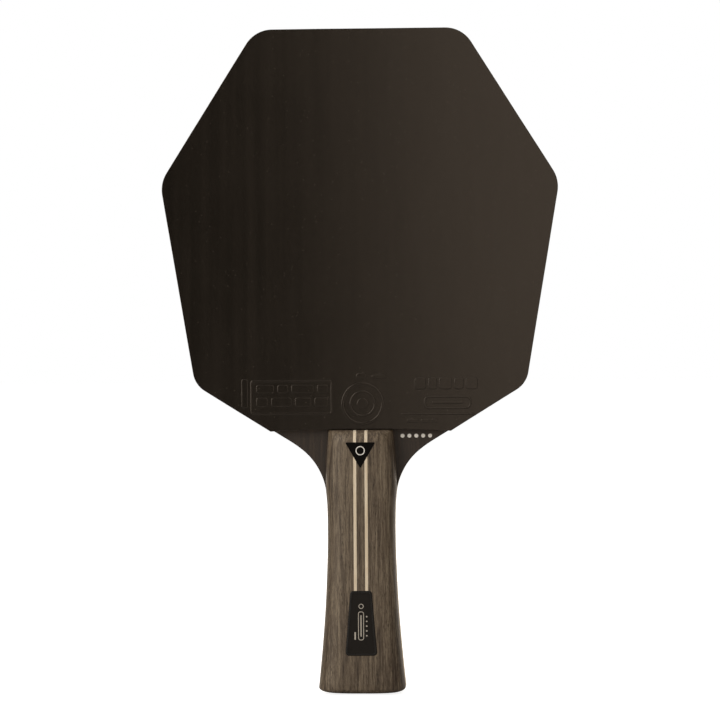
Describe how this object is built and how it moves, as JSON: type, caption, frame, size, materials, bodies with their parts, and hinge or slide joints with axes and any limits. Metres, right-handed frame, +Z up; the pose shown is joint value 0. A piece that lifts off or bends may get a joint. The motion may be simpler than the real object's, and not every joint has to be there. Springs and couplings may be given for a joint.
{
  "type": "table tennis paddle",
  "caption": "Table tennis paddle with an angular eight-sided head, inverted rubber on both faces, a carbon-reinforced ply blade and a flared wooden handle with pale inlays.",
  "frame": {"origin": "middle of the flat butt end of the handle, which is the bottom of the bounding box", "axes": "+Z up the handle to the top of the head, +X to the right seen from the front, -Y out of the front (dark) face, +Y out of the back (red) face; Y = 0 is the middle of the blade's core"},
  "size_m": [0.1552, 0.0244, 0.26],
  "materials": {
    "core_wood": "matte",
    "carbon": "satin",
    "medial_wood": "matte",
    "outer_wood": "satin",
    "grip_wood": "satin",
    "stripe_wood": "satin",
    "badge_black": "satin",
    "lens_black": "satin",
    "black_rubber": "satin",
    "red_rubber": "satin",
    "sponge": "matte",
    "print_grey": "matte"
  },
  "bodies": {
    "root": {"core_ply": "core_wood", "front_carbon_ply": "carbon", "back_carbon_ply": "carbon", "front_medial_ply": "medial_wood", "back_medial_ply": "medial_wood", "front_outer_ply": "outer_wood", "back_outer_ply": "outer_wood", "front_sponge": "sponge", "front_topsheet": "black_rubber", "back_sponge": "sponge", "back_topsheet": "red_rubber", "front_handle_half": "grip_wood", "back_handle_half": "grip_wood", "front_left_stripe": "stripe_wood", "front_right_stripe": "stripe_wood", "back_left_stripe": "stripe_wood", "back_right_stripe": "stripe_wood", "handle_badge": "badge_black", "handle_lens": "lens_black"}
  },
  "joints": []
}
